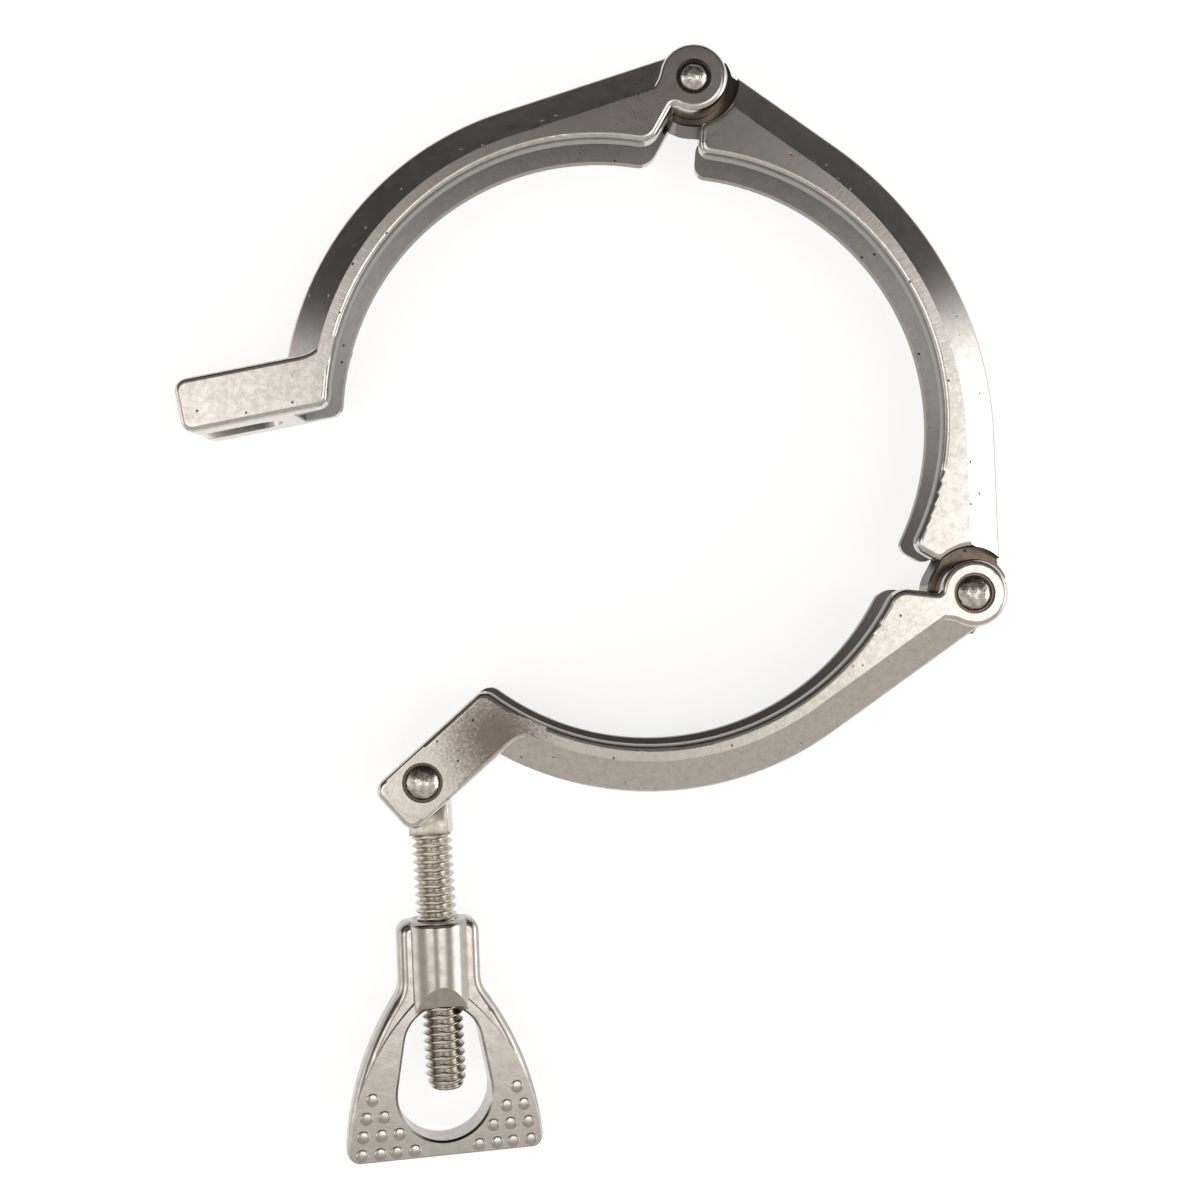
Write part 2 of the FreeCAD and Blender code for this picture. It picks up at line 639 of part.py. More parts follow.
def bell_side(neck, foot, bulge):
    """Bulging side line of the wing from its neck to its foot."""
    chord = foot - neck
    outward = FreeCAD.Vector(-chord.y, chord.x, 0).normalize()
    middle = (neck + foot) * 0.5 + outward * (bulge * chord.Length)
    return Part.Arc(neck, middle, foot).toShape()


def both_sides(half):
    """Run of edges and its mirror image across the axis of the nut."""
    return half + [e.mirror(ORIGIN, FreeCAD.Vector(0, 1, 0)) for e in half]


def wing_plate():
    """Bell-shaped plate of the wing, with shoulders up beside the boss."""
    top = FreeCAD.Vector(0, SHOULDER_HALF_WIDTH, 0)
    neck = FreeCAD.Vector(SHOULDER_LENGTH, SHOULDER_HALF_WIDTH, 0)
    foot = FreeCAD.Vector(NUT_LENGTH, WING_HALF_WIDTH, 0)
    sides = both_sides([Part.makeLine(top, neck), bell_side(neck, foot, WING_BULGE)])
    ends = [Part.makeLine(p, FreeCAD.Vector(p.x, -p.y, 0)) for p in (top, foot)]
    plate = plate_from_edges(Part.__sortEdges__(sides + ends), WING_THICKNESS)
    for point, amount in ((top, WING_CORNER), (neck, SHOULDER_ROUND), (foot, WING_CORNER)):
        mirrored = FreeCAD.Vector(point.x, -point.y, 0)
        edges = corner_edges(plate, point) + corner_edges(plate, mirrored)
        plate = plate.makeFillet(amount, edges)
    return plate.makeFillet(WING_EDGE_ROUND, rim_edges(plate, WING_THICKNESS / 2))


def wing_panels():
    """Raised faces on both sides of the wing, from the boss down to the foot."""
    thickness = WING_THICKNESS + 2 * PANEL_HEIGHT
    top = FreeCAD.Vector(PANEL_TOP, PANEL_TOP_HALF_WIDTH, 0)
    foot = FreeCAD.Vector(NUT_LENGTH - PANEL_INSET, WING_HALF_WIDTH - PANEL_INSET, 0)
    sides = both_sides([bell_side(top, foot, PANEL_BULGE)])
    ends = [Part.makeLine(p, FreeCAD.Vector(p.x, -p.y, 0)) for p in (top, foot)]
    plate = plate_from_edges(Part.__sortEdges__(sides + ends), thickness)
    feet = corner_edges(plate, foot) + corner_edges(plate, FreeCAD.Vector(foot.x, -foot.y, 0))
    plate = plate.makeFillet(WING_CORNER - PANEL_INSET, feet)
    return plate.makeFillet(PANEL_EDGE_ROUND, rim_edges(plate, thickness / 2))


def nut_boss():
    """Round boss that slopes down to the panels on both sides of the wing."""
    panel = WING_THICKNESS / 2 + PANEL_HEIGHT
    slope = (BOSS_RADIUS - panel) / (RAMP_END - RAMP_START)
    high = BOSS_RADIUS + TOOL_MARGIN
    shoulder = RAMP_START - TOOL_MARGIN / slope
    point = RAMP_END + panel / slope
    outline = [
        FreeCAD.Vector(-TOOL_MARGIN, 0, high),
        FreeCAD.Vector(shoulder, 0, high),
        FreeCAD.Vector(point, 0, 0),
        FreeCAD.Vector(shoulder, 0, -high),
        FreeCAD.Vector(-TOOL_MARGIN, 0, -high),
    ]
    roof = Part.Face(Part.makePolygon(outline + [outline[0]]))
    roof.translate(FreeCAD.Vector(0, -high, 0))
    roof = roof.extrude(FreeCAD.Vector(0, 2 * high, 0))
    boss = Part.makeCylinder(BOSS_RADIUS, point, ORIGIN, X_AXIS)
    top = [e for e in boss.Edges if e.BoundBox.XMax < CLOSE]
    return boss.makeFillet(BOSS_ROUND, top).common(roof)


def egg_edges(grow):
    """Outline of the finger window, grown all round by a distance."""
    small_radius = WINDOW_TOP_RADIUS + grow
    large_radius = WINDOW_RADIUS + grow
    small = FreeCAD.Vector(WINDOW_TOP + WINDOW_TOP_RADIUS, 0, 0)
    large = FreeCAD.Vector(NUT_LENGTH - WINDOW_RIM - WINDOW_RADIUS, 0, 0)
    lean = math.asin((WINDOW_RADIUS - WINDOW_TOP_RADIUS) / (large.x - small.x))
    outward = FreeCAD.Vector(-math.sin(lean), math.cos(lean), 0)
    mirrored = FreeCAD.Vector(outward.x, -outward.y, 0)
    corners = [small + outward * small_radius, large + outward * large_radius,
               large + mirrored * large_radius, small + mirrored * small_radius]
    return [
        Part.makeLine(corners[0], corners[1]),
        Part.Arc(corners[1], large + X_AXIS * large_radius, corners[2]).toShape(),
        Part.makeLine(corners[2], corners[3]),
        Part.Arc(corners[3], small - X_AXIS * small_radius, corners[0]).toShape(),
    ]


def window_mouth(side):
    """Bevel of the finger window in one of the two panels."""
    panel = WING_THICKNESS / 2 + PANEL_HEIGHT
    wires = []
    for rise in (-WINDOW_EDGE, WINDOW_EDGE):
        wire = Part.Wire(egg_edges(rise + WINDOW_EDGE))
        wire.translate(Z_AXIS * (side * (panel + rise)))
        wires.append(wire)
    return Part.makeLoft(wires, True, True)


def window_tool():
    """Egg-shaped finger window through the wing, with bevelled mouths."""
    tool = plate_from_edges(egg_edges(0), 2 * BOSS_RADIUS + 2 * TOOL_MARGIN)
    return tool.fuse(window_mouth(1)).fuse(window_mouth(-1))


def bore_tool():
    """Bore for the bolt along +X with a bevelled mouth at the top of the boss."""
    bore = THREAD_RADIUS + NUT_RUNNING_CLEARANCE
    depth = WINDOW_TOP + WINDOW_TOP_RADIUS
    shaft = Part.makeCylinder(bore, depth + TOOL_MARGIN, X_AXIS * -TOOL_MARGIN, X_AXIS)
    bevel = BORE_MOUTH_RADIUS - bore
    mouth = Part.makeCone(
        BORE_MOUTH_RADIUS + TOOL_MARGIN, bore, bevel + TOOL_MARGIN, X_AXIS * -TOOL_MARGIN, X_AXIS
    )
    return shaft.fuse(mouth)


def wing_nut():
    """Cast nut along +X from the top of its boss, wing in the mid-plane."""
    body = wing_plate().fuse(wing_panels()).fuse(nut_boss()).cut(window_tool())
    body.rotate(ORIGIN, Z_AXIS, CASTING_LEAN)
    return body.cut(bore_tool()).removeSplitter()


def export(node, shape):
    """Write one sub-part."""
    shape.exportStep("parts/" + node + ".step")
    size = shape.BoundBox
    print(
        node, "solids", len(shape.Solids), "valid", shape.isValid(),
        "volume", round(shape.Volume, 1),
        "box", round(size.XLength, 2), round(size.YLength, 2), round(size.ZLength, 2),
    )


def main():
    """Build every piece in the open rest pose."""
    os.makedirs("parts", exist_ok=True)
    upper_pin = polar(PIN_CIRCLE, UPPER_PIN_ANGLE)
    lower_pin = polar(PIN_CIRCLE, LOWER_PIN_ANGLE)

    export("middle_segment", middle_segment())
    export("slotted_segment", swing(slotted_segment(), upper_pin, -UPPER_OPENING))
    export("upper_hinge_pin", rivet(upper_pin, UPPER_HEAD_RADIUS))
    export("bolt_segment", swing(bolt_segment(), lower_pin, LOWER_OPENING))
    export("lower_hinge_pin", rivet(lower_pin, LOWER_HEAD_RADIUS))

    bolt_pin = swing(Part.Vertex(bolt_pin_centre()), lower_pin, LOWER_OPENING).Point
    export("bolt_pin", rivet(bolt_pin, BOLT_HEAD_RADIUS))

    bolt = swing(swing_bolt(), ORIGIN, BOLT_DIRECTION)
    bolt.translate(bolt_pin)
    export("swing_bolt", bolt)

    nut = wing_nut()
    nut.rotate(ORIGIN, X_AXIS, NUT_YAW)
    nut.translate(X_AXIS * NUT_DISTANCE)
    nut.rotate(ORIGIN, Z_AXIS, BOLT_DIRECTION)
    nut.translate(bolt_pin)
    export("wing_nut", nut)
    print("bolt pin", round(bolt_pin.x, 4), round(bolt_pin.y, 4))


main()
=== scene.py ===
import logging
import math
from dataclasses import dataclass
from enum import Enum
from typing import Any

import bmesh
import bpy
from mathutils import Matrix, Vector


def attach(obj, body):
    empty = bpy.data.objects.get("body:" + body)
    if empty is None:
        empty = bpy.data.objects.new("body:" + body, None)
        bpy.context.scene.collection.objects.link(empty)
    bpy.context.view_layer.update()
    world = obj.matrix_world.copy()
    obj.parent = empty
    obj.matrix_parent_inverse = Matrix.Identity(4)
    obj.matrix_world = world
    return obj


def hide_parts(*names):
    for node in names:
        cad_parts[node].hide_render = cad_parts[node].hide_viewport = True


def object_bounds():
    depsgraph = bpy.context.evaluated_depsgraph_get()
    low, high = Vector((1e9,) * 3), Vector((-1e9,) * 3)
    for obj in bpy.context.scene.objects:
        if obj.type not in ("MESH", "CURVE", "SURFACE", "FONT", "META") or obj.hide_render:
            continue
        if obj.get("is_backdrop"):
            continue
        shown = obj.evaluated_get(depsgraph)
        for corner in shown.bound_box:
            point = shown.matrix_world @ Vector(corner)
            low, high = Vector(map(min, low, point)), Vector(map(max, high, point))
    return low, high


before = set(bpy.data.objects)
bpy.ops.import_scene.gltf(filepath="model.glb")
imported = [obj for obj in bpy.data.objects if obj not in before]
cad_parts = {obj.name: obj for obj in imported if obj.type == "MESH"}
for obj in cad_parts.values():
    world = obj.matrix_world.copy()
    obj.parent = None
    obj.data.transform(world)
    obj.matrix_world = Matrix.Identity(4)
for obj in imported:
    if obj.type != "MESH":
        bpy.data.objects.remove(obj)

# Looks of an opened hinged pipe clamp: three cast stainless segments, three riveted pins,
# an eye bolt with its thread and a cast wing nut. Metres; sizes named _mm are millimetres.

log = logging.getLogger("clamp")

MM = 0.001
Colour = tuple[float, float, float, float]
Material = bpy.types.Material
Mesh = bpy.types.Mesh
NodeTree = bpy.types.NodeTree
Object = bpy.types.Object
Shell = bmesh.types.BMesh
Socket = bpy.types.NodeSocket
Place = tuple[float, float]
Point = tuple[float, float, float]
Span = tuple[float, float]

# Axes of the riveted pins, and the bolt's angle from +X in degrees, all at rest.
UPPER_PIN_MM = (2.828, 52.223)
LOWER_PIN_MM = (45.384, -25.992)
BOLT_PIN_MM = (-38.2444, -54.7418)
BOLT_DIRECTION = 273.5

# Points of a shell that lie closer than this are one point.
MERGE_MM = 1e-4


class Slot(Enum):
    """Names of the record's material slots for the bolt and the nut."""

    BOLT = "bolt_steel"
    NUT = "nut_steel"


class Face(Enum):
    """Faces of the wing nut, by the sign of their height."""

    FRONT = 1
    REAR = -1


class Hand(Enum):
    """Sides of the light table, by the sign of X."""

    RIGHT = 1
    LEFT = -1


def linear(hex_code: str) -> Colour:
    """Turn an sRGB hex colour into linear RGBA.

    Args:
        hex_code: Six hex digits, with or without a leading hash.

    Returns:
        Linear red, green and blue, and an alpha of one.
    """
    digits = hex_code.lstrip("#")
    channels = []
    for start in (0, 2, 4):
        value = int(digits[start:start + 2], 16) / 255
        channels.append(value / 12.92 if value <= 0.04045 else ((value + 0.055) / 1.055) ** 2.4)
    return (channels[0], channels[1], channels[2], 1.0)


def in_metres(place_mm: Place) -> Vector:
    """Turn a place in the clamp's mid-plane from millimetres into metres."""
    return Vector((*place_mm, 0.0)) * MM


def add_node(
    tree: NodeTree,
    kind: str,
    settings: dict[str, Any] | None = None,
    values: dict[Any, Any] | None = None,
    links: dict[Any, Socket] | None = None,
) -> bpy.types.Node:
    """Add a node with its settings, socket values and incoming links.

    Args:
        tree: Node tree that gets the node.
        kind: Blender's class name of the node.
        settings: Properties of the node by name.
        values: Constant values by input name or index.
        links: Output sockets by input name or index.

    Returns:
        The new node.
    """
    node = tree.nodes.new(kind)
    for name, value in (settings or {}).items():
        setattr(node, name, value)
    for key, value in (values or {}).items():
        node.inputs[key].default_value = value
    for key, socket in (links or {}).items():
        tree.links.new(socket, node.inputs[key])
    return node


def plan_distance(tree: NodeTree, place: Socket, axis: Vector) -> Socket:
    """Measure how far each point lies from an upright axis.

    Args:
        tree: Node tree.
        place: Place on the piece.
        axis: Where the axis meets the clamp's mid-plane.

    Returns:
        The distance, level with the mid-plane.
    """
    level = add_node(
        tree, "ShaderNodeVectorMath", {"operation": "MULTIPLY"}, {1: (1.0, 1.0, 0.0)}, {0: place},
    ).outputs["Vector"]
    return add_node(
        tree, "ShaderNodeVectorMath", {"operation": "DISTANCE"}, {1: tuple(axis)}, {0: level},
    ).outputs["Value"]


def blank_material(name: str) -> Material:
    """Make a material with an empty node tree.

    Args:
        name: Real material and process.

    Returns:
        The material.
    """
    made = bpy.data.materials.new(name)
    made.use_nodes = True
    made.node_tree.nodes.clear()
    return made


def dress(node: str, material: Material) -> None:
    """Give a CAD node its material, in every slot it has.

    Args:
        node: Name of the CAD node.
        material: Its finish.
    """
    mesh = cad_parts[node].data
    if not mesh.materials:
        mesh.materials.append(material)
    for index in range(len(mesh.materials)):
        mesh.materials[index] = material
    log.info("dressed %s: %s", node, material.name)


def add_object(name: str, mesh: Mesh, material: Material) -> Object:
    """Put a mesh in the scene with one material and smooth shading.

    Args:
        name: Name of the object.
        mesh: Its finished mesh, in the row frame.
        material: Its finish.

    Returns:
        The object.
    """
    mesh.materials.append(material)
    mesh.shade_smooth()
    made = bpy.data.objects.new(name, mesh)
    bpy.context.scene.collection.objects.link(made)
    log.info("added %s: %d faces, %s", name, len(mesh.polygons), material.name)
    return made


def pin_frame(pin_mm: Place, direction: float) -> Matrix:
    """Pose of a piece on the bolt's pin, from its own millimetres to the row frame.

    Args:
        pin_mm: Place of the pin.
        direction: Angle of the bolt from +X, in degrees.

    Returns:
        The transform.
    """
    turn = Matrix.Rotation(math.radians(direction), 4, "Z")
    return Matrix.Translation(in_metres(pin_mm)) @ turn @ Matrix.Scale(MM, 4)


def add_grid(shell: Shell, rows: list[list[Point]], closed: bool = True) -> None:
    """Add faces between rows of points.

    Args:
        shell: Mesh under construction.
        rows: Rows of equally many points.
        closed: Join each row's last point to its first.
    """
    placed = [[shell.verts.new(point) for point in row] for row in rows]
    count = len(rows[0])
    for lower, upper in zip(placed, placed[1:]):
        for step in range(count if closed else count - 1):
            ahead = (step + 1) % count
            shell.faces.new((lower[step], lower[ahead], upper[ahead], upper[step]))


def solid_mesh(name: str, shell: Shell, place: Matrix) -> Mesh:
    """Merge a shell's doubled points, face it outwards and turn it into a mesh in place.

    Args:
        name: Name of the mesh.
        shell: Mesh under construction, which is freed.
        place: Transform to the row frame.

    Returns:
        The mesh.
    """
    bmesh.ops.remove_doubles(shell, verts=shell.verts, dist=MERGE_MM)
    bmesh.ops.recalc_face_normals(shell, faces=shell.faces)
    mesh = bpy.data.meshes.new(name)
    shell.to_mesh(mesh)
    shell.free()
    mesh.transform(place)
    mesh.update()
    return mesh


@dataclass(frozen=True)
class Hollow:
    """Round hollow about a pin, darkened as painted shade: a rivet's seat, or a recess for an ear.
    """

    pin_mm: Place
    radius_mm: float


# Each hollow is taken a little wider than in the CAD, so that all of its wall lies inside.
UPPER_RECESS = Hollow(UPPER_PIN_MM, 7.05)
LOWER_RECESS = Hollow(LOWER_PIN_MM, 7.05)
UPPER_SEAT = Hollow(UPPER_PIN_MM, 2.68)
LOWER_SEAT = Hollow(LOWER_PIN_MM, 3.13)
BOLT_SEAT = Hollow(BOLT_PIN_MM, 3.08)


@dataclass(frozen=True)
class BlastedCasting:
    """Stainless casting, blasted, then rubbed on a belt.

    Blasting gives the eye a fine matt grain with slightly duller patches, and the investment
    shell leaves a few open pits, darkened as painted shade. The belt brightens the flats and
    leaves streaks that run in and out from the pipe; an area that it misses stays dull, with a
    speckled edge. The slopes keep a smoother sheen and the groove keeps its grey skin as cast;
    painted shade darkens the lip walls and the hollows.
    """

    name: str = "stainless_casting_blasted"
    bright: str = "#cdc8c2"
    dull: str = "#beb8b1"
    flat_roughness: float = 0.24
    slope_roughness: float = 0.2
    groove_roughness: float = 0.34
    # Upward part of the normal where a skin starts to count as flat, and where it does in full.
    flat_levels: Span = (0.9, 0.995)
    # Patches swing the roughness about its mean between these two levels of their noise.
    roughness_swing: float = 0.06
    swing_levels: Span = (0.3, 0.7)
    patch_mm: float = 1.1
    patch_detail: float = 5.0
    patch_breakup: float = 0.62
    # Blasting grit leaves marks of about 0.1 mm, which the render can't show, so the grain is
    # drawn three times coarser. Slopes keep only a share of its depth.
    grain_mm: float = 0.32
    grain_detail: float = 2.0
    grain_breakup: float = 0.6
    grain_depth_mm: float = 0.006
    slope_grain: float = 0.15
    # Levels of patches plus weighted grain where the skin is dull, and where it is bright.
    grain_weight: float = 0.45
    tone_levels: Span = (0.52, 0.86)
    # One pit at most in each cell of the spacing, in cells whose random tone is over the cut.
    # Its floor is a share of its radius, and its wall slopes from there.
    pit_spacing_mm: float = 1.8
    pit_mm: float = 0.24
    pit_floor: float = 0.35
    pit_cut: float = 0.72
    pit_depth_mm: float = 0.06
    # Painted shade inside each pit.
    pit_painted_shade: str = "#6b635c"
    # A fine belt scratches every 0.05 mm or so; the streaks are drawn four times coarser, so
    # that they show. They have this width at the given radius.
    streak_mm: float = 0.22
    streak_radius_mm: float = 43.0
    streak_length_mm: float = 5.0
    streak_detail: float = 2.0
    streak_depth_mm: float = 0.004
    # Grey of the groove's skin as cast; on the lip walls it is painted shade, where they would
    # reflect the bright floor.
    groove_skin_lip_shade: str = "#a5a6a6"
    groove_radius_mm: float = 46.4
    groove_half_mm: float = 5.6
    lip_radius_mm: float = 41.0
    # Colour that darkens each hollow: painted shade in the rivet seats and the ear recesses.
    hollow_painted_shade: str = "#7c726a"
    dull_tint: str = "#9d9490"
    dull_full_mm: float = 6.0
    dull_gone_mm: float = 16.0
    dull_ragged_mm: float = 9.0

    def material(
        self, centre: Vector, hollows: tuple[Hollow, ...] = (), dull_spot: Vector | None = None,
    ) -> Material:
        """Build the finish for one segment.

        Args:
            centre: Centre of the segment's ring, which its belt streaks point to.
            hollows: Hollows of the segment, which are darkened as painted shade.
            dull_spot: Middle of an area that the belt has missed, if there is one.

        Returns:
            The material.
        """
        made = blank_material(self.name)
        tree = made.node_tree
        place = add_node(tree, "ShaderNodeTexCoord").outputs["Object"]
        patch = add_node(
            tree, "ShaderNodeTexNoise",
            values={
                "Scale": 1 / (self.patch_mm * MM), "Detail": self.patch_detail,
                "Roughness": self.patch_breakup,
            },
            links={"Vector": place},
        ).outputs["Fac"]
        grain = add_node(
            tree, "ShaderNodeTexNoise",
            values={
                "Scale": 1 / (self.grain_mm * MM), "Detail": self.grain_detail,
                "Roughness": self.grain_breakup,
            },
            links={"Vector": place},
        ).outputs["Fac"]
        flat = self._flatness(tree)
        pits = self._pits(tree, place)
        groove = self._groove(tree, place, centre)
        # Pits, hollows and lip walls are darkened as painted shade; the groove's grey skin and the
        # dull spot are the casting's own colour.
        shades = [(pits, self.pit_painted_shade), (groove, self.groove_skin_lip_shade)]
        shades += [(self._inside(tree, place, hollow), self.hollow_painted_shade) for hollow in hollows]
        if dull_spot is not None:
            shades.append((self._missed(tree, place, dull_spot, grain, flat), self.dull_tint))
        colour = self._tone(tree, patch, grain)
        for share, shade in shades:
            colour = add_node(
                tree, "ShaderNodeMix", {"data_type": "RGBA", "blend_type": "MULTIPLY"},
                {7: linear(shade)}, {0: share, 6: colour},
            ).outputs[2]
        rough = add_node(
            tree, "ShaderNodeMix", values={3: self.groove_roughness},
            links={0: groove, 2: self._roughness(tree, patch, flat)},
        ).outputs[0]
        shader = add_node(
            tree, "ShaderNodeBsdfPrincipled", values={"Metallic": 1.0},
            links={
                "Base Color": colour, "Roughness": rough,
                "Normal": self._relief(tree, place, centre, grain, pits, flat),
            },
        )
        add_node(tree, "ShaderNodeOutputMaterial", links={"Surface": shader.outputs["BSDF"]})
        return made

    def _flatness(self, tree: NodeTree) -> Socket:
        """Tell the front and rear flats from the rest.

        Args:
            tree: The material's node tree.

        Returns:
            1 on the flats and 0 on the slopes and sides.
        """
        upright = add_node(
            tree, "ShaderNodeSeparateXYZ",
            links={"Vector": add_node(tree, "ShaderNodeNewGeometry").outputs["Normal"]},
        ).outputs["Z"]
        steep = add_node(
            tree, "ShaderNodeMath", {"operation": "ABSOLUTE"}, links={0: upright},
        ).outputs["Value"]
        start, full = self.flat_levels
        return add_node(
            tree, "ShaderNodeMapRange", {"interpolation_type": "SMOOTHSTEP"},
            {"From Min": start, "From Max": full}, {"Value": steep},
        ).outputs["Result"]

    def _tone(self, tree: NodeTree, patch: Socket, grain: Socket) -> Socket:
        """Colour the sound skin, from dull to bright.

        Args:
            tree: The material's node tree.
            patch: Noise of the patches.
            grain: Noise of the grain.

        Returns:
            The colour.
        """
        mixed = add_node(
            tree, "ShaderNodeMath", {"operation": "MULTIPLY_ADD"}, {1: self.grain_weight},
            {0: grain, 2: patch},
        ).outputs["Value"]
        dull_level, bright_level = self.tone_levels
        share = add_node(
            tree, "ShaderNodeMapRange",
            values={"From Min": dull_level, "From Max": bright_level}, links={"Value": mixed},
        ).outputs["Result"]
        return add_node(
            tree, "ShaderNodeMix", {"data_type": "RGBA"},
            {6: linear(self.dull), 7: linear(self.bright)}, {0: share},
        ).outputs[2]

    def _inside(self, tree: NodeTree, place: Socket, hollow: Hollow) -> Socket:
        """Find the skin in a hollow.

        Args:
            tree: The material's node tree.
            place: Place on the piece.
            hollow: The hollow.

        Returns:
            1 inside its radius and 0 outside.
        """
        return add_node(
            tree, "ShaderNodeMath", {"operation": "LESS_THAN"}, {1: hollow.radius_mm * MM},
            {0: plan_distance(tree, place, in_metres(hollow.pin_mm))},
        ).outputs["Value"]

    def _missed(
        self, tree: NodeTree, place: Socket, spot: Vector, grain: Socket, flat: Socket,
    ) -> Socket:
        """Find the flats round a spot that the belt has missed.

        Args:
            tree: The material's node tree.
            place: Place on the piece.
            spot: Middle of the area.
            grain: Noise of the grain, which speckles the edge.
            flat: 1 on the flats.

        Returns:
            1 in the area, fading to 0 past its edge.
        """
        away = add_node(
            tree, "ShaderNodeVectorMath", {"operation": "DISTANCE"}, {1: tuple(spot)}, {0: place},
        ).outputs["Value"]
        ragged = add_node(
            tree, "ShaderNodeMath", {"operation": "MULTIPLY_ADD"}, {1: self.dull_ragged_mm * MM},
            {0: grain, 2: away},
        ).outputs["Value"]
        share = add_node(
            tree, "ShaderNodeMapRange", {"interpolation_type": "SMOOTHSTEP"},
            {
                "From Min": self.dull_full_mm * MM, "From Max": self.dull_gone_mm * MM,
                "To Min": 1.0, "To Max": 0.0,
            },
            {"Value": ragged},
        ).outputs["Result"]
        return add_node(
            tree, "ShaderNodeMath", {"operation": "MULTIPLY"}, links={0: share, 1: flat},
        ).outputs["Value"]

    def _groove(self, tree: NodeTree, place: Socket, centre: Vector) -> Socket:
        """Find the V groove, whose skin is left as cast, and the lips, whose walls get painted
        shade.

        Args:
            tree: The material's node tree.
            place: Place on the piece.
            centre: Centre of the segment's ring.

        Returns:
            1 in the groove and on the lips, and 0 elsewhere.
        """
        reach = plan_distance(tree, place, centre)
        height = add_node(
            tree, "ShaderNodeMath", {"operation": "ABSOLUTE"},
            links={0: add_node(
                tree, "ShaderNodeSeparateXYZ", links={"Vector": place},
            ).outputs["Z"]},
        ).outputs["Value"]
        inside = add_node(
            tree, "ShaderNodeMath", {"operation": "LESS_THAN"}, {1: self.groove_radius_mm * MM},
            {0: reach},
        ).outputs["Value"]
        between = add_node(
            tree, "ShaderNodeMath", {"operation": "LESS_THAN"}, {1: self.groove_half_mm * MM},
            {0: height},
        ).outputs["Value"]
        groove = add_node(
            tree, "ShaderNodeMath", {"operation": "MULTIPLY"}, links={0: inside, 1: between},
        ).outputs["Value"]
        lip = add_node(
            tree, "ShaderNodeMath", {"operation": "LESS_THAN"}, {1: self.lip_radius_mm * MM},
            {0: reach},
        ).outputs["Value"]
        return add_node(
            tree, "ShaderNodeMath", {"operation": "MAXIMUM"}, links={0: groove, 1: lip},
        ).outputs["Value"]

    def _pits(self, tree: NodeTree, place: Socket) -> Socket:
        """Scatter sparse round pits.

        Args:
            tree: The material's node tree.
            place: Place on the piece.

        Returns:
            1 in a pit and 0 on the sound skin.
        """
        cells = add_node(
            tree, "ShaderNodeTexVoronoi",
            values={"Scale": 1 / (self.pit_spacing_mm * MM), "Randomness": 1.0},
            links={"Vector": place},
        )
        rim = self.pit_mm / self.pit_spacing_mm
        hole = add_node(
            tree, "ShaderNodeMapRange", {"interpolation_type": "SMOOTHSTEP"},
            {"From Min": rim, "From Max": rim * self.pit_floor, "To Min": 0.0, "To Max": 1.0},
            {"Value": cells.outputs["Distance"]},
        ).outputs["Result"]
        tone = add_node(
            tree, "ShaderNodeSeparateColor", links={"Color": cells.outputs["Color"]},
        ).outputs["Red"]
        chosen = add_node(
            tree, "ShaderNodeMath", {"operation": "GREATER_THAN"}, {1: self.pit_cut}, {0: tone},
        ).outputs["Value"]
        return add_node(
            tree, "ShaderNodeMath", {"operation": "MULTIPLY"}, links={0: hole, 1: chosen},
        ).outputs["Value"]

    def _roughness(self, tree: NodeTree, patch: Socket, flat: Socket) -> Socket:
        """Roughen the flats more than the slopes, and let the patches swing it.

        Args:
            tree: The material's node tree.
            patch: Noise of the patches.
            flat: 1 on the flats.

        Returns:
            The roughness outside the groove.
        """
        base = add_node(
            tree, "ShaderNodeMapRange",
            values={"To Min": self.slope_roughness, "To Max": self.flat_roughness},
            links={"Value": flat},
        ).outputs["Result"]
        low, high = self.swing_levels
        swing = add_node(
            tree, "ShaderNodeMapRange",
            values={
                "From Min": low, "From Max": high,
                "To Min": self.roughness_swing / 2, "To Max": -self.roughness_swing / 2,
            },
            links={"Value": patch},
        ).outputs["Result"]
        return add_node(
            tree, "ShaderNodeMath", {"operation": "ADD"}, links={0: base, 1: swing},
        ).outputs["Value"]

    def _streaks(self, tree: NodeTree, place: Socket, centre: Vector) -> Socket:
        """Draw the belt's streaks, which point to the ring's centre.

        Args:
            tree: The material's node tree.
            place: Place on the piece.
            centre: Centre of the segment's ring.

        Returns:
            Height of the streaks, from 0 to 1.
        """
        local = add_node(
            tree, "ShaderNodeVectorMath", {"operation": "SUBTRACT"}, {1: tuple(centre)}, {0: place},
        ).outputs["Vector"]
        parts = add_node(tree, "ShaderNodeSeparateXYZ", links={"Vector": local})
        turn = add_node(
            tree, "ShaderNodeMath", {"operation": "ARCTAN2"},
            links={0: parts.outputs["Y"], 1: parts.outputs["X"]},
        ).outputs["Value"]
        reach = add_node(
            tree, "ShaderNodeVectorMath", {"operation": "LENGTH"}, links={0: local},
        ).outputs["Value"]
        around = add_node(
            tree, "ShaderNodeMath", {"operation": "MULTIPLY"},
            {1: self.streak_radius_mm / self.streak_mm}, {0: turn},
        ).outputs["Value"]
        along = add_node(
            tree, "ShaderNodeMath", {"operation": "MULTIPLY"},
            {1: 1 / (self.streak_length_mm * MM)}, {0: reach},
        ).outputs["Value"]
        return add_node(
            tree, "ShaderNodeTexNoise", values={"Scale": 1.0, "Detail": self.streak_detail},
            links={"Vector": add_node(
                tree, "ShaderNodeCombineXYZ", links={"X": around, "Y": along},
            ).outputs["Vector"]},
        ).outputs["Fac"]

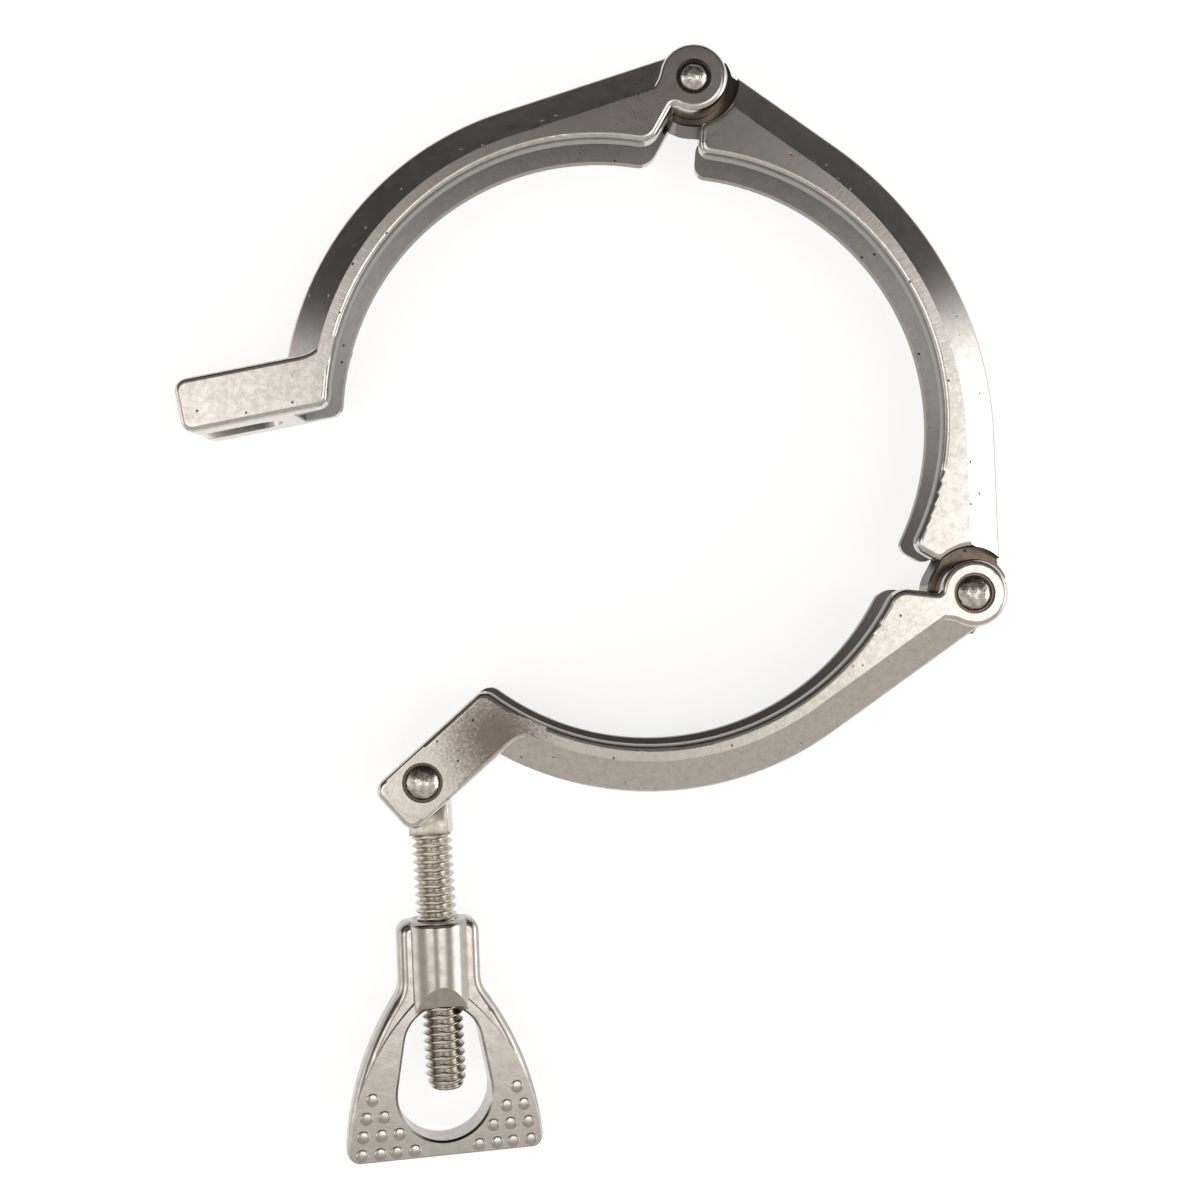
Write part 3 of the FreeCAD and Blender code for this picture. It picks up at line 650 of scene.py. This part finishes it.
    def _relief(
        self, tree: NodeTree, place: Socket, centre: Vector, grain: Socket, pits: Socket,
        flat: Socket,
    ) -> Socket:
        """Lay grain and pits everywhere, and the belt's streaks on the flats.

        Args:
            tree: The material's node tree.
            place: Place on the piece.
            centre: Centre of the segment's ring.
            grain: Noise of the grain.
            pits: 1 in the pits.
            flat: 1 on the flats.

        Returns:
            The normal.
        """
        grain_share = add_node(
            tree, "ShaderNodeMapRange", values={"To Min": self.slope_grain, "To Max": 1.0},
            links={"Value": flat},
        ).outputs["Result"]
        fine = add_node(
            tree, "ShaderNodeBump", values={"Distance": self.grain_depth_mm * MM},
            links={"Height": grain, "Strength": grain_share},
        ).outputs["Normal"]
        streaked = add_node(
            tree, "ShaderNodeBump", values={"Distance": self.streak_depth_mm * MM},
            links={
                "Height": self._streaks(tree, place, centre), "Strength": flat, "Normal": fine,
            },
        ).outputs["Normal"]
        return add_node(
            tree, "ShaderNodeBump", {"invert": True}, {"Distance": self.pit_depth_mm * MM},
            {"Height": pits, "Normal": streaked},
        ).outputs["Normal"]


@dataclass(frozen=True)
class PolishedSteel:
    """Stainless steel with a soft polish.

    The polish gives the eye clear but slightly wavy reflections: shallow dents break them up
    and are a little brighter on their crests, and handling leaves a faint grain.
    """

    name: str
    bright: str
    roughness: float
    dull: str = "#aca49b"
    roughness_swing: float = 0.06
    dent_mm: float = 1.1
    dent_detail: float = 3.0
    dent_breakup: float = 0.5
    dent_depth_mm: float = 0.02
    # Levels of the dents' noise where the skin is dull, and where it is bright.
    wear_levels: Span = (0.35, 0.65)
    # Handling scratches are a few hundredths of a millimetre wide, and are drawn about ten
    # times coarser, so that they show.
    grain_mm: float = 0.25
    grain_detail: float = 2.0
    grain_depth_mm: float = 0.004

    def material(self) -> Material:
        """Build the finish.

        Returns:
            The material.
        """
        made = blank_material(self.name)
        tree = made.node_tree
        place = add_node(tree, "ShaderNodeTexCoord").outputs["Object"]
        dents = add_node(
            tree, "ShaderNodeTexNoise",
            values={
                "Scale": 1 / (self.dent_mm * MM), "Detail": self.dent_detail,
                "Roughness": self.dent_breakup,
            },
            links={"Vector": place},
        ).outputs["Fac"]
        grain = add_node(
            tree, "ShaderNodeTexNoise",
            values={"Scale": 1 / (self.grain_mm * MM), "Detail": self.grain_detail},
            links={"Vector": place},
        ).outputs["Fac"]
        dull_level, bright_level = self.wear_levels
        wear = add_node(
            tree, "ShaderNodeMapRange",
            values={"From Min": dull_level, "From Max": bright_level}, links={"Value": dents},
        ).outputs["Result"]
        colour = add_node(
            tree, "ShaderNodeMix", {"data_type": "RGBA"},
            {6: linear(self.dull), 7: linear(self.bright)}, {0: wear},
        ).outputs[2]
        rough = add_node(
            tree, "ShaderNodeMapRange",
            values={
                "To Min": self.roughness + self.roughness_swing / 2,
                "To Max": self.roughness - self.roughness_swing / 2,
            },
            links={"Value": wear},
        ).outputs["Result"]
        wavy = add_node(
            tree, "ShaderNodeBump", values={"Distance": self.dent_depth_mm * MM},
            links={"Height": dents},
        ).outputs["Normal"]
        fine = add_node(
            tree, "ShaderNodeBump", values={"Distance": self.grain_depth_mm * MM},
            links={"Height": grain, "Normal": wavy},
        ).outputs["Normal"]
        shader = add_node(
            tree, "ShaderNodeBsdfPrincipled", values={"Metallic": 1.0},
            links={"Base Color": colour, "Roughness": rough, "Normal": fine},
        )
        add_node(tree, "ShaderNodeOutputMaterial", links={"Surface": shader.outputs["BSDF"]})
        return made


@dataclass(frozen=True)
class LightTablePaper:
    """White paper lit softly from below.

    Its glow takes the edge off every shadow, and its matt skin shows no gloss. Paper fibres
    are 0.03 mm wide, and their mottle is drawn 20 times coarser, so that it shows close up.
    """

    name: str = "white_paper_on_light_table"
    shade: str = "#a6a6a5"
    white: str = "#acacab"
    roughness: float = 0.95
    fibre_mm: float = 0.6
    glow_colour: str = "#ffffff"
    glow: float = 0.78

    def material(self) -> Material:
        """Build the finish.

        Returns:
            The material.
        """
        made = blank_material(self.name)
        tree = made.node_tree
        fibre = add_node(
            tree, "ShaderNodeTexNoise", values={"Scale": 1 / (self.fibre_mm * MM)},
            links={"Vector": add_node(tree, "ShaderNodeTexCoord").outputs["Object"]},
        ).outputs["Fac"]
        colour = add_node(
            tree, "ShaderNodeMix", {"data_type": "RGBA"},
            {6: linear(self.shade), 7: linear(self.white)}, {0: fibre},
        ).outputs[2]
        shader = add_node(
            tree, "ShaderNodeBsdfPrincipled",
            values={
                "Roughness": self.roughness, "Emission Color": linear(self.glow_colour),
                "Emission Strength": self.glow,
            },
            links={"Base Color": colour},
        )
        add_node(tree, "ShaderNodeOutputMaterial", links={"Surface": shader.outputs["BSDF"]})
        return made


# Rivet heads closed with a hammer: broad, deep dents break their shine into bright facets.
PEENED_RIVET = PolishedSteel(
    "stainless_rivet_peened", bright="#dedad5", roughness=0.25, dent_mm=1.0, dent_depth_mm=0.16,
)
# Thread rolled between dies: the burnished flanks give each turn a soft, fine-grained shine.
ROLLED_THREAD = PolishedSteel(
    "stainless_thread_rolled", bright="#cfc9c1", dull="#b9b2a8", roughness=0.24, grain_mm=0.2,
)
# Casting tumbled among stones: an even, slightly greyer shine over low, long waves.
TUMBLED_CASTING = PolishedSteel(
    "stainless_casting_tumbled", bright="#b4afaa", dull="#a8a29c", roughness=0.2, dent_mm=1.6,
    dent_depth_mm=0.012,
)


@dataclass
class CastSegment:
    """One cast segment of the ring; its centre is its own ring's, at rest.

    It may have a dull spot, where the belt has missed its front face.
    """

    node: str
    centre_mm: Place
    hollows: tuple[Hollow, ...]
    dull_spot_mm: Point | None = None

    def build(self, finish: BlastedCasting) -> None:
        """Dress the segment.

        Args:
            finish: Its casting finish.
        """
        spot = Vector(self.dull_spot_mm) * MM if self.dull_spot_mm else None
        dress(self.node, finish.material(in_metres(self.centre_mm), self.hollows, spot))


@dataclass
class HingeRivet:
    """One riveted pin with a domed head."""

    node: str

    def build(self, finish: PolishedSteel) -> None:
        """Dress the rivet.

        Args:
            finish: Its finish.
        """
        dress(self.node, finish.material())


@dataclass
class SwingBolt:
    """Eye bolt with a flat neck and a rolled thread, 20 turns to the inch.

    It is drawn in millimetres along +X from its pin, then turned and moved to the rest pose.
    The profile lists the phase of a turn and the share of the full depth there. The two halves
    of the thread are a little out of step, as dies leave them, and are flattened top and
    bottom. The spare turns fold in past both ends and close the bolt.
    """

    node: str = "swing_bolt"
    body: str = "bolt"
    pin_mm: Place = BOLT_PIN_MM
    direction: float = BOLT_DIRECTION
    eye_radius: float = 4.1
    hole_radius: float = 2.05
    eye_half: float = 3.0
    eye_columns: int = 144
    rim_round: float = 0.35
    rim_steps: int = 4
    neck_end: float = 8.7
    end: float = 48.4
    major_radius: float = 3.175
    thread_depth: float = 0.74
    pitch: float = 1.27
    profile: tuple[tuple[float, float], ...] = (
        (0.0, 0.0), (0.06, 0.03), (0.11, 0.13), (0.24, 0.45), (0.37, 0.84), (0.43, 0.97),
        (0.5, 1.0), (0.57, 0.97), (0.63, 0.84), (0.76, 0.45), (0.89, 0.13), (0.94, 0.03),
    )
    spare_turns: int = 3
    flat_half: float = 2.86
    die_mismatch: float = 0.14
    die_sharpness: float = 8.0
    point_length: float = 2.6
    point_radius: float = 2.3
    columns: int = 72

    def build(self, finish: PolishedSteel) -> None:
        """Build the bolt in place of its plain CAD node.

        Args:
            finish: Its finish.
        """
        shell = bmesh.new()
        self._add_eye(shell)
        self._add_thread(shell)
        mesh = solid_mesh("swing_bolt_threaded", shell, pin_frame(self.pin_mm, self.direction))
        made = add_object("swing_bolt_threaded", mesh, finish.material())
        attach(made, self.body)
        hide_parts(self.node)

    def _outline(self, angle: float) -> float:
        """Outline the eye and its neck in plan.

        Args:
            angle: Angle about the pin, from the bolt's own direction.

        Returns:
            Distance from the pin to the outline.
        """
        if math.cos(angle) <= 0:
            return self.eye_radius
        neck = self.neck_end / math.cos(angle)
        across = abs(math.sin(angle))
        if across * neck > self.major_radius:
            neck = self.major_radius / across
        return max(self.eye_radius, neck)

    def _rim_rings(self) -> list[tuple[float, float]]:
        """Work out the rings that make the eye's side, with its rounded rims.

        Returns:
            Inset and height of each ring, from rear to front.
        """
        half_rim = []
        for step in range(self.rim_steps + 1):
            lean = math.pi / 2 * step / self.rim_steps
            inset = self.rim_round * (1 - math.sin(lean))
            half_rim.append((inset, self.eye_half - self.rim_round * (1 - math.cos(lean))))
        rear = [(inset, -height) for inset, height in half_rim]
        return [(2 * self.rim_round, -self.eye_half), *rear, *reversed(half_rim),
                (2 * self.rim_round, self.eye_half)]

    def _add_eye(self, shell: Shell) -> None:
        """Add the eye and neck: bored through, with rounded rims.

        Args:
            shell: Mesh under construction.
        """
        corner = math.atan2(self.major_radius, self.neck_end)
        around = {2 * math.pi * step / self.eye_columns - math.pi
                  for step in range(self.eye_columns)}
        angles = sorted({corner, -corner} | around)
        rows = [[(self.hole_radius * math.cos(angle), self.hole_radius * math.sin(angle),
                  -self.eye_half) for angle in angles]]
        for inset, height in self._rim_rings():
            rows.append([
                ((self._outline(angle) - inset) * math.cos(angle),
                 (self._outline(angle) - inset) * math.sin(angle), height) for angle in angles
            ])
        rows.append([(x, y, self.eye_half) for x, y, _ in rows[0]])
        rows.append(list(rows[0]))
        add_grid(shell, rows)

    def _thread_point(self, x: float, depth: float, angle: float) -> Point:
        """Place a point of the thread's skin; past either end it folds in to close the bolt.

        Args:
            x: Distance from the pin along the bolt.
            depth: Depth of the profile there.
            angle: Angle round the bolt.

        Returns:
            The point in the bolt's own millimetres.
        """
        start = self.neck_end - self.rim_round
        past = max(start - x, x - self.end, 0.0) / self.pitch
        taper = max(0.0, x - (self.end - self.point_length)) / self.point_length
        limit = self.major_radius - (self.major_radius - self.point_radius) * min(taper, 1.0) ** 2
        radius = min(self.major_radius - depth, limit) * max(0.0, 1 - past)
        y = radius * math.cos(angle)
        z = radius * math.sin(angle)
        step = self.die_mismatch / 2 * math.tanh(self.die_sharpness * math.cos(angle))
        along = min(max(x + step, start), self.end)
        return (along, y, math.copysign(min(abs(z), self.flat_half), z))

    def _add_thread(self, shell: Shell) -> None:
        """Add the thread as a grid that winds with its helix.

        Args:
            shell: Mesh under construction.
        """
        first = self.neck_end - self.spare_turns * self.pitch
        turns = math.ceil((self.end - first) / self.pitch) + self.spare_turns
        rows = []
        for turn in range(turns):
            for phase, share in self.profile:
                row = []
                for column in range(self.columns + 1):
                    around = column / self.columns
                    x = first + self.pitch * (turn + phase + around)
                    row.append(self._thread_point(
                        x, share * self.thread_depth, 2 * math.pi * around,
                    ))
                rows.append(row)
        add_grid(shell, rows, closed=False)


@dataclass
class WingNut:
    """Cast wing nut, with the raised grip dots of its wings.

    Dot places are (distance from the boss's end, distance from the middle) in the nut's own
    millimetres, and each stands on both wings and both faces. A dot is a low dome, sunk a
    little into the wing, and fuller than an ellipse's because its fullness is under 1.
    """

    node: str = "wing_nut"
    body: str = "nut"
    pin_mm: Place = BOLT_PIN_MM
    direction: float = BOLT_DIRECTION
    distance: float = 22.0
    yaw: float = -12.0
    lean: float = -1.3
    panel_height: float = 3.0
    dot_radius: float = 1.0
    dot_height: float = 0.17
    dot_sink: float = 0.06
    dot_fullness: float = 0.8
    dot_columns: int = 28
    dot_rows: int = 6
    dots: tuple[tuple[float, float], ...] = (
        (26.6, 11.2), (29.4, 9.5), (29.4, 12.2), (32.2, 7.3), (32.2, 10.0), (32.2, 12.8),
        (35.0, 5.0), (35.0, 7.8), (35.0, 10.3), (35.0, 13.1),
    )

    def build(self, finish: PolishedSteel) -> None:
        """Dress the nut and add its dots.

        Args:
            finish: Finish of the nut and its dots.
        """
        material = finish.material()
        dress(self.node, material)
        shell = bmesh.new()
        for face in Face:
            for along, across in self.dots:
                self._add_dot(shell, along, across, face)
                self._add_dot(shell, along, -across, face)
        mesh = solid_mesh("nut_grip_dots", shell, self._place())
        made = add_object("nut_grip_dots", mesh, material)
        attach(made, self.body)

    def _place(self) -> Matrix:
        """Work out the rest pose: along the bolt, turned about it, and leaning off its bore.

        Returns:
            The transform from the nut's own millimetres to the row frame.
        """
        seat = Matrix.Translation((self.distance, 0.0, 0.0))
        yaw = Matrix.Rotation(math.radians(self.yaw), 4, "X")
        lean = Matrix.Rotation(math.radians(self.lean), 4, "Z")
        return pin_frame(self.pin_mm, self.direction) @ seat @ yaw @ lean

    def _add_dot(self, shell: Shell, along: float, across: float, face: Face) -> None:
        """Add one flattened dome.

        Args:
            shell: Mesh under construction.
            along: Distance from the boss's end.
            across: Distance from the nut's middle.
            face: Face that carries the dot.
        """
        rows = []
        for row in range(self.dot_rows + 1):
            rise = math.pi / 2 * row / self.dot_rows
            radius = self.dot_radius * math.cos(rise) ** self.dot_fullness
            height = self.dot_height * math.sin(rise) if row else -self.dot_sink
            rows.append([
                (along + radius * math.cos(turn), across + radius * math.sin(turn),
                 face.value * (self.panel_height + height))
                for turn in (2 * math.pi * step / self.dot_columns
                             for step in range(self.dot_columns))
            ])
        add_grid(shell, rows)


@dataclass
class PhotoCamera:
    """Camera that looks straight down on the clamp, as the photograph does."""

    aim_mm: Place = (-11.36, -27.05)
    height_mm: float = 269.7
    focal_pixels: float = 1726.0
    image_pixels: float = 1200.0
    sensor_mm: float = 36.0
    clip_near_mm: float = 10.0
    clip_far_mm: float = 10000.0

    def build(self) -> None:
        """Make the camera and set it as the scene's."""
        data = bpy.data.cameras.new("photo_camera")
        data.sensor_width = self.sensor_mm
        data.lens = self.sensor_mm * self.focal_pixels / self.image_pixels
        data.clip_start = self.clip_near_mm * MM
        data.clip_end = self.clip_far_mm * MM
        made = bpy.data.objects.new("photo_camera", data)
        made.location = (self.aim_mm[0] * MM, self.aim_mm[1] * MM, self.height_mm * MM)
        bpy.context.scene.collection.objects.link(made)
        bpy.context.scene.camera = made
        log.info("camera %.1f mm above the clamp's mid-plane", self.height_mm)


@dataclass(frozen=True)
class LightPanel:
    """One soft white panel to one side, as a part of the surroundings.

    Start, full, fade and gone are sideways parts of a direction: where the panel's light
    starts, is full, starts to fall and is gone. It never falls where fade is over 1. Near and
    far are where it fades along Y.
    """

    hand: Hand
    start: float
    full: float
    fade: float
    gone: float
    near: float
    far: float
    strength: float

    def light(self, tree: NodeTree, x: Socket, y_size: Socket) -> Socket:
        """Work out the panel's light in each direction.

        Args:
            tree: World node tree.
            x: Sideways part of the direction.
            y_size: Size of the direction's part along Y.

        Returns:
            The panel's light.
        """
        reach = add_node(
            tree, "ShaderNodeMath", {"operation": "MULTIPLY"}, {1: self.hand.value}, {0: x},
        ).outputs["Value"]
        across = add_node(
            tree, "ShaderNodeMapRange", {"interpolation_type": "SMOOTHSTEP"},
            {"From Min": self.start, "From Max": self.full}, {"Value": reach},
        ).outputs["Result"]
        beyond = add_node(
            tree, "ShaderNodeMapRange", {"interpolation_type": "SMOOTHSTEP"},
            {"From Min": self.fade, "From Max": self.gone, "To Min": 1.0, "To Max": 0.0},
            {"Value": reach},
        ).outputs["Result"]
        along = add_node(
            tree, "ShaderNodeMapRange", {"interpolation_type": "SMOOTHSTEP"},
            {"From Min": self.near, "From Max": self.far, "To Min": self.strength, "To Max": 0.0},
            {"Value": y_size},
        ).outputs["Result"]
        held = add_node(
            tree, "ShaderNodeMath", {"operation": "MULTIPLY"}, links={0: across, 1: beyond},
        ).outputs["Value"]
        return add_node(
            tree, "ShaderNodeMath", {"operation": "MULTIPLY"}, links={0: held, 1: along},
        ).outputs["Value"]


@dataclass
class Studio:
    """Pale floor and the soft, warm surroundings that the steel reflects.

    White panels hang left and right overhead and stand at the table's sides, with a dark gap
    between. The front of the room is a mid grey. The back is dark, so slopes that face back
    turn nearly black, with a grey cove half way up it that views from the front reflect.
    """

    floor_height_m: float
    floor_half_m: float = 3.0
    floor: LightTablePaper = LightTablePaper()
    panels: tuple[LightPanel, ...] = (
        LightPanel(Hand.RIGHT, start=0.12, full=0.2, fade=0.42, gone=0.66, near=0.12, far=0.28,
                   strength=2.2),
        LightPanel(Hand.LEFT, start=0.1, full=0.17, fade=0.42, gone=0.66, near=0.14, far=0.28,
                   strength=1.8),
        LightPanel(Hand.RIGHT, start=0.78, full=0.96, fade=2.0, gone=3.0, near=0.3, far=0.6,
                   strength=2.3),
        LightPanel(Hand.LEFT, start=0.84, full=0.99, fade=2.0, gone=3.0, near=0.2, far=0.5,
                   strength=1.2),
    )
    front: str = "#d6d0ca"
    back: str = "#51443e"
    horizon: str = "#1c1918"
    # Parts of a direction along Y over which the front turns to back, and back to horizon.
    back_span: Span = (-0.05, 0.22)
    horizon_span: Span = (0.22, 0.9)
    # The cove starts over the first span of Y, rises over the first of Z and ends over the next.
    cove: str = "#847e79"
    cove_back: Span = (0.26, 0.42)
    cove_low: Span = (0.42, 0.6)
    cove_high: Span = (0.84, 0.93)

    def build(self) -> None:
        """Build the floor and the surroundings."""
        self._build_floor()
        self._build_world()
        bpy.context.scene.view_settings.view_transform = "Standard"

    def _build_floor(self) -> None:
        """Lay the floor under the clamp."""
        half = self.floor_half_m
        mesh = bpy.data.meshes.new("floor")
        mesh.from_pydata(
            [(-half, -half, 0.0), (half, -half, 0.0), (half, half, 0.0), (-half, half, 0.0)],
            [], [(0, 1, 2, 3)],
        )
        made = add_object("floor", mesh, self.floor.material())
        made.location = (0.0, 0.0, self.floor_height_m)
        made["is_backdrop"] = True

    def _cove_share(self, tree: NodeTree, y: Socket, z: Socket) -> Socket:
        """Find the grey cove: behind the table, half way up.

        Args:
            tree: World node tree.
            y: Part of the direction along Y.
            z: Upward part of the direction.

        Returns:
            1 on the cove, fading to 0 round it.
        """
        share = None
        for part, (start, end), rises in (
            (y, self.cove_back, True), (z, self.cove_low, True), (z, self.cove_high, False),
        ):
            edge = add_node(
                tree, "ShaderNodeMapRange", {"interpolation_type": "SMOOTHSTEP"},
                {
                    "From Min": start, "From Max": end,
                    "To Min": 0.0 if rises else 1.0, "To Max": 1.0 if rises else 0.0,
                },
                {"Value": part},
            ).outputs["Result"]
            share = edge if share is None else add_node(
                tree, "ShaderNodeMath", {"operation": "MULTIPLY"}, links={0: share, 1: edge},
            ).outputs["Value"]
        return share

    def _room(self, tree: NodeTree, y: Socket, z: Socket) -> Socket:
        """Paint the room without its panels: front grey, back dark, horizon darker, cove grey.

        Args:
            tree: World node tree.
            y: Part of the direction along Y.
            z: Upward part of the direction.

        Returns:
            The room's colour.
        """
        shares = []
        for start, end in (self.back_span, self.horizon_span):
            shares.append(add_node(
                tree, "ShaderNodeMapRange", {"interpolation_type": "SMOOTHSTEP"},
                {"From Min": start, "From Max": end}, {"Value": y},
            ).outputs["Result"])
        colour = add_node(
            tree, "ShaderNodeMix", {"data_type": "RGBA"},
            {6: linear(self.front), 7: linear(self.back)}, {0: shares[0]},
        ).outputs[2]
        for share, shade in (
            (shares[1], self.horizon), (self._cove_share(tree, y, z), self.cove),
        ):
            colour = add_node(
                tree, "ShaderNodeMix", {"data_type": "RGBA"}, {7: linear(shade)},
                {0: share, 6: colour},
            ).outputs[2]
        return colour

    def _build_world(self) -> None:
        """Paint the surroundings by direction: the room, with the panels' light over it."""
        world = bpy.data.worlds.new("studio")
        world.use_nodes = True
        tree = world.node_tree
        tree.nodes.clear()
        parts = add_node(
            tree, "ShaderNodeSeparateXYZ",
            links={"Vector": add_node(tree, "ShaderNodeTexCoord").outputs["Generated"]},
        )
        colour = self._room(tree, parts.outputs["Y"], parts.outputs["Z"])
        y_size = add_node(
            tree, "ShaderNodeMath", {"operation": "ABSOLUTE"}, links={0: parts.outputs["Y"]},
        ).outputs["Value"]
        for panel in self.panels:
            light = panel.light(tree, parts.outputs["X"], y_size)
            colour = add_node(
                tree, "ShaderNodeVectorMath", {"operation": "ADD"}, links={0: colour, 1: light},
            ).outputs["Vector"]
        backdrop = add_node(tree, "ShaderNodeBackground", links={"Color": colour})
        add_node(tree, "ShaderNodeOutputWorld", links={"Surface": backdrop.outputs["Background"]})
        bpy.context.scene.world = world
        log.info("surroundings built with %d panels", len(self.panels))


def main() -> None:
    """Build the studio, dress the clamp and add what the CAD leaves to this script."""
    logging.basicConfig(level=logging.INFO, format="%(name)s: %(message)s")
    cad_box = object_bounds()
    PhotoCamera().build()
    Studio(floor_height_m=cad_box[0].z).build()
    casting = BlastedCasting()
    for segment in (
        CastSegment("middle_segment", (0.0, 0.0), (UPPER_RECESS, LOWER_RECESS)),
        CastSegment("slotted_segment", (-11.894, 2.038), (UPPER_SEAT,)),
        CastSegment(
            "bolt_segment", (-3.870, -8.405), (LOWER_SEAT, BOLT_SEAT),
            dull_spot_mm=(-27.2, -47.6, 8.5),
        ),
    ):
        segment.build(casting)
    for node in ("upper_hinge_pin", "lower_hinge_pin", "bolt_pin"):
        HingeRivet(node).build(PEENED_RIVET)
    SwingBolt().build(ROLLED_THREAD)
    WingNut().build(TUMBLED_CASTING)


if __name__ == "__main__":
    main()
